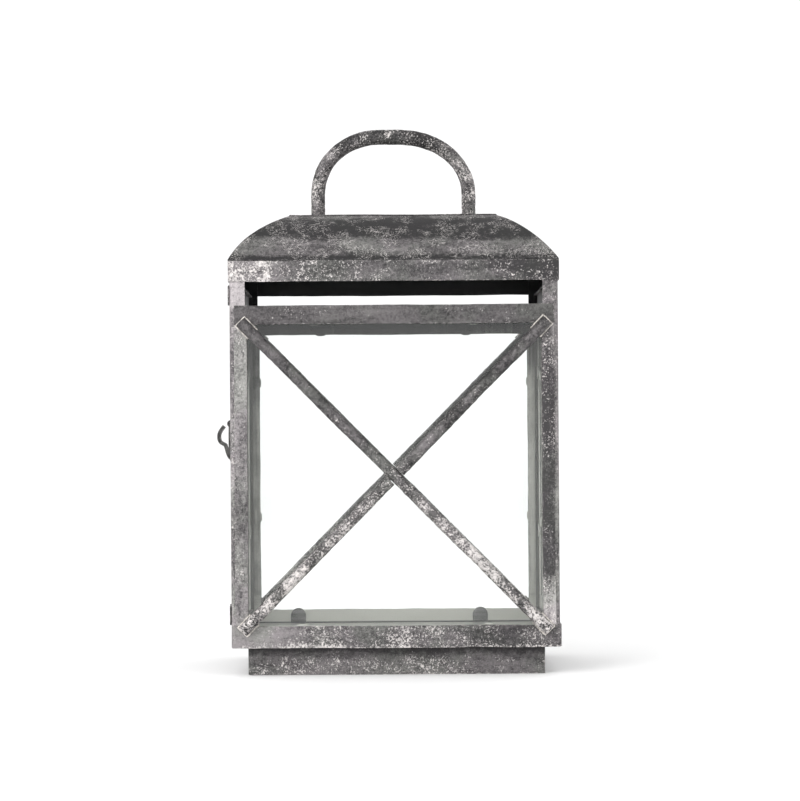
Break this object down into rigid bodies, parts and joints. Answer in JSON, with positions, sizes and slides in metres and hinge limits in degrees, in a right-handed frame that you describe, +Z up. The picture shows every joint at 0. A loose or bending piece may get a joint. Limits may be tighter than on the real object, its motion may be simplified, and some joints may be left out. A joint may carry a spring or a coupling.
{
  "type": "candle lantern",
  "caption": "Rectangular metal and glass candle lantern with crossed rods front and back, a hipped roof, a fixed loop handle and a hinged side door with a turning latch.",
  "frame": {"origin": "middle of the plinth's underside, on the surface that the lantern stands on", "axes": "+Z up, -Y out of the front face, +X to the right seen from the front; the door is on the -X side"},
  "size_m": [0.2742, 0.197, 0.4303],
  "materials": {
    "zinc": "satin",
    "zinc_dark": "satin",
    "zinc_inside": "satin",
    "dark_steel": "satin",
    "glass": "gloss"
  },
  "bodies": {
    "body": {"base_plinth": "zinc_dark", "handle": "zinc_dark", "base_band": "zinc", "eave_band": "zinc", "roof_shell": "zinc", "roof_cap": "zinc", "post_front_left": "zinc", "post_front_right": "zinc", "post_back_left": "zinc", "post_back_right": "zinc", "front_stile_left": "zinc", "front_stile_right": "zinc", "front_top_rail": "zinc", "front_cross_long": "zinc", "front_cross_lower": "zinc", "front_cross_upper": "zinc", "front_glass": "glass", "front_glass_retainer": "zinc_inside", "back_stile_left": "zinc", "back_stile_right": "zinc", "back_top_rail": "zinc", "back_cross_long": "zinc", "back_cross_lower": "zinc", "back_cross_upper": "zinc", "back_glass": "glass", "back_glass_retainer": "zinc_inside", "right_frame": "zinc", "right_glass": "glass", "right_glass_retainer": "zinc_inside", "floor_plate": "zinc_inside", "lower_hinge_post_leaf": "dark_steel", "lower_hinge_pin": "dark_steel", "upper_hinge_post_leaf": "dark_steel", "upper_hinge_pin": "dark_steel", "latch_eye": "dark_steel"},
    "door": {"door_frame": "zinc", "door_glass": "glass", "door_glass_retainer": "zinc_inside", "lower_hinge_door_leaf": "dark_steel", "upper_hinge_door_leaf": "dark_steel", "latch_rivet": "dark_steel"},
    "latch": {"latch_lever": "dark_steel"}
  },
  "joints": [
    {"name": "door_hinge", "type": "hinge", "parent": "body", "child": "door", "pos_m": [-0.126, -0.075, 0.1705], "axis": [0, 0, 1], "range_deg": [0, 120]},
    {"name": "latch_turn", "type": "hinge", "parent": "door", "child": "latch", "pos_m": [-0.127, 0.068, 0.152], "axis": [1, 0, 0], "range_deg": [0, 90]}
  ]
}
